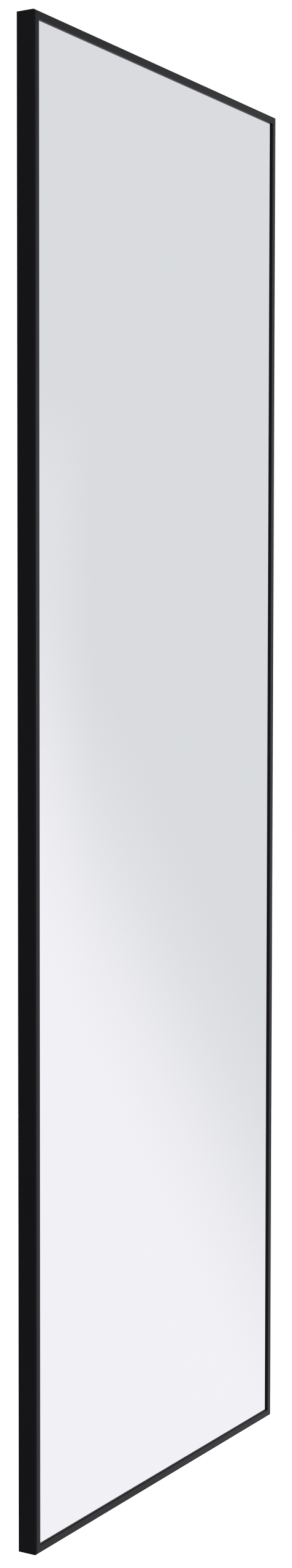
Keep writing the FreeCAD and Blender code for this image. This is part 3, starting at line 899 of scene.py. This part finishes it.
class WALLMIRROR_OT_stage(bpy.types.Operator):
    """Set the floor, the surroundings, the lamps and the camera"""

    bl_idname = "wall_mirror.stage"
    bl_label = "Stage"

    def execute(self, context):
        scene = context.scene
        stage = scene.mirror_stage
        scene.view_settings.view_transform = "Standard"
        self.floor(stage)
        scene.world = self.surroundings(stage)
        self.lamps()
        scene.camera = self.camera(stage)
        return {"FINISHED"}

    def floor(self, stage):
        """A wide pale floor below the mirror, white to the camera but for shadows."""
        clear_selection()
        height = CAD_BOX[0].z - stage.floor_drop
        bpy.ops.mesh.primitive_plane_add(size=FLOOR_WIDTH, location=(0.0, 0.0, height))
        floor = bpy.context.object
        floor.name = "studio_floor"
        bpy.ops.object.transform_apply(location=True, rotation=True, scale=True)
        floor.visible_glossy = False
        finish = Finish("studio_floor", Roughness=0.9, Specular_IOR_Level=0.1)
        tree = finish.tree
        patches = finish.noise(FLOOR_CLOUD, detail=3.0)
        finish.feed(Base_Color=patches.blend(stage.floor, tuple(FLOOR_PATCH * part for part in stage.floor)))
        seen = Varying(tree, add_node(tree, "ShaderNodeLightPath").outputs["Is Camera Ray"])
        lift = add_node(tree, "ShaderNodeEmission", inputs={"Strength": FLOOR_LIFT * seen})
        inputs = {0: finish.surface.outputs[0], 1: lift.outputs[0]}
        both = add_node(tree, "ShaderNodeAddShader", inputs=inputs)
        tree.links.new(both.outputs[0], tree.nodes["Material Output"].inputs["Surface"])
        dress(floor, finish.material)

    def surroundings(self, stage):
        """White to the camera, even light on dull surfaces, and soft fields in glass and gloss."""
        world = bpy.data.worlds.new("studio")
        world.use_nodes = True
        tree = world.node_tree
        tree.nodes.clear()
        path = add_node(tree, "ShaderNodeLightPath")
        even = self.light(tree, WHITE, stage.daylight)
        mirrored = self.light(tree, self.colour_by_heading(tree, stage))
        white = self.light(tree, WHITE)
        lit = self.choose(tree, path.outputs["Is Glossy Ray"], even, mirrored)
        seen = self.choose(tree, path.outputs["Is Camera Ray"], lit, white)
        add_node(tree, "ShaderNodeOutputWorld", inputs={"Surface": seen})
        return world

    def light(self, tree, colour, strength=1.0):
        """Light from all round, of one colour or of one that changes with the heading."""
        node = add_node(tree, "ShaderNodeBackground", inputs={"Color": colour, "Strength": strength})
        return node.outputs[0]

    def choose(self, tree, share, first, second):
        """The first light where the share is 0 and the second where it is 1."""
        node = add_node(tree, "ShaderNodeMixShader", inputs={0: share, 1: first, 2: second})
        return node.outputs[0]

    def colour_by_heading(self, tree, stage):
        """The colour of the surroundings in each heading."""
        heading = add_node(tree, "ShaderNodeTexCoord").outputs["Generated"]
        parts = add_node(tree, "ShaderNodeSeparateXYZ", inputs={0: heading})
        right, back, up = (Varying(tree, parts.outputs[axis]) for axis in "XYZ")
        slant = self.along(tree, heading, FIELD_SLANT)
        beside = self.along(tree, heading, GLOW_SIDE)
        ahead = self.ahead(stage, self.fields(stage, slant, beside, up), right, up)
        return back.rise(*WALL_EDGE).blend(ahead, self.behind(stage, right, up))

    def along(self, tree, heading, side):
        """How far a heading points to one side."""
        node = add_node(tree, "ShaderNodeVectorMath", {"operation": "DOT_PRODUCT"}, {0: heading, 1: side})
        return Varying(tree, node.outputs["Value"])

    def fields(self, stage, slant, beside, up):
        """The two fields that the glass shows to the camera, with the glow in the upper one."""
        lower = slant.rise(*FIELD_EDGE)
        glow = GLOW_LEVEL * beside.rise(*GLOW_EDGE) + (1.0 - GLOW_LEVEL) * beside.rise(*GLOW_FULL)
        glow = glow * (1.0 - up.rise(*GLOW_TOP))
        return (lower + (1.0 - lower) * glow).blend(stage.high, stage.low)

    def ahead(self, stage, fields, right, up):
        """The fields, with dusk over them, the flank to their left and below, and the window beside them."""
        dimmed = up.rise(*DUSK_EDGE).blend(fields, stage.dusk)
        flank = up.rise(*FLANK_RISE).blend(stage.flank_low, stage.flank_high)
        flanked = right.rise(*FLANK_SIDE).larger(up.rise(*FLANK_BELOW)).blend(dimmed, flank)
        across = right.rise(*WINDOW_LEFT) * (1.0 - right.rise(*WINDOW_RIGHT))
        upward = up.rise(*WINDOW_SILL) * (1.0 - up.rise(*WINDOW_HEAD))
        return (across * upward).blend(flanked, tuple(stage.window * part for part in stage.low))

    def behind(self, stage, right, up):
        """Bright surroundings, with a shade on the left that ends upwards."""
        shaded = up.rise(*LOFT_EDGE).blend(stage.shade, stage.bright)
        return right.rise(*SHADE_SIDE).blend(stage.bright, shaded)

    def lamps(self):
        """Two wide soft lamps, one before the mirror and one behind it."""
        for name, place, width, watts in LAMPS:
            lamp = bpy.data.lights.new(name, "AREA")
            lamp.shape = "DISK"
            lamp.size = width
            lamp.energy = watts
            holder = bpy.data.objects.new(name, lamp)
            bpy.context.scene.collection.objects.link(holder)
            holder.location = place
            holder.rotation_euler = (-Vector(place)).to_track_quat("-Z", "Y").to_euler()
            holder.visible_glossy = False

    def camera(self, stage):
        """A camera with a plain lens at the photograph's viewing angle."""
        view = bpy.data.cameras.new("photo_camera")
        view.sensor_width = SENSOR_WIDTH
        view.lens = stage.lens
        view.clip_start = CLIP_START
        view.clip_end = CLIP_END
        holder = bpy.data.objects.new("photo_camera", view)
        bpy.context.scene.collection.objects.link(holder)
        holder.location = stage.camera
        holder.rotation_euler = stage.aim
        return holder


GROUPS = {
    "mirror_frame": FrameFinish,
    "mirror_glass": GlassFinish,
    "mirror_back": BackFinish,
    "mirror_hardware": HardwareFinish,
    "mirror_fasteners": FastenerSizes,
    "mirror_bumpers": BumperSizes,
    "mirror_stage": StageSettings,
}

STEPS = (
    WALLMIRROR_OT_black_frame,
    WALLMIRROR_OT_silvered_glass,
    WALLMIRROR_OT_backing,
    WALLMIRROR_OT_spring_clips,
    WALLMIRROR_OT_corner_plates,
    WALLMIRROR_OT_set_screws,
    WALLMIRROR_OT_hangers,
    WALLMIRROR_OT_hanger_screws,
    WALLMIRROR_OT_wall_bumpers,
    WALLMIRROR_OT_stage,
)


class WALLMIRROR_PT_steps(bpy.types.Panel):
    """The steps that finish the mirror, and the values they use"""

    bl_idname = "WALLMIRROR_PT_steps"
    bl_label = "Wall Mirror"
    bl_space_type = "VIEW_3D"
    bl_region_type = "UI"
    bl_category = "Mirror"

    def draw(self, context):
        for step in STEPS:
            self.layout.operator(step.bl_idname)
        for name in GROUPS:
            group = getattr(context.scene, name)
            column = self.layout.column()
            for key in group.bl_rna.properties.keys():
                if key not in ("rna_type", "name"):
                    column.prop(group, key)


def register():
    for group in GROUPS.values():
        bpy.utils.register_class(group)
    for name, group in GROUPS.items():
        setattr(bpy.types.Scene, name, PointerProperty(type=group))
    for step in (*STEPS, WALLMIRROR_PT_steps):
        bpy.utils.register_class(step)


def unregister():
    for step in (WALLMIRROR_PT_steps, *reversed(STEPS)):
        bpy.utils.unregister_class(step)
    for name in GROUPS:
        delattr(bpy.types.Scene, name)
    for group in reversed(GROUPS.values()):
        bpy.utils.unregister_class(group)


def main():
    register()
    bpy.ops.wall_mirror.black_frame()
    bpy.ops.wall_mirror.silvered_glass()
    bpy.ops.wall_mirror.backing()
    bpy.ops.wall_mirror.spring_clips()
    bpy.ops.wall_mirror.corner_plates()
    bpy.ops.wall_mirror.set_screws()
    bpy.ops.wall_mirror.hangers()
    bpy.ops.wall_mirror.hanger_screws()
    bpy.ops.wall_mirror.wall_bumpers()
    bpy.ops.wall_mirror.stage()


if __name__ == "__main__":
    main()
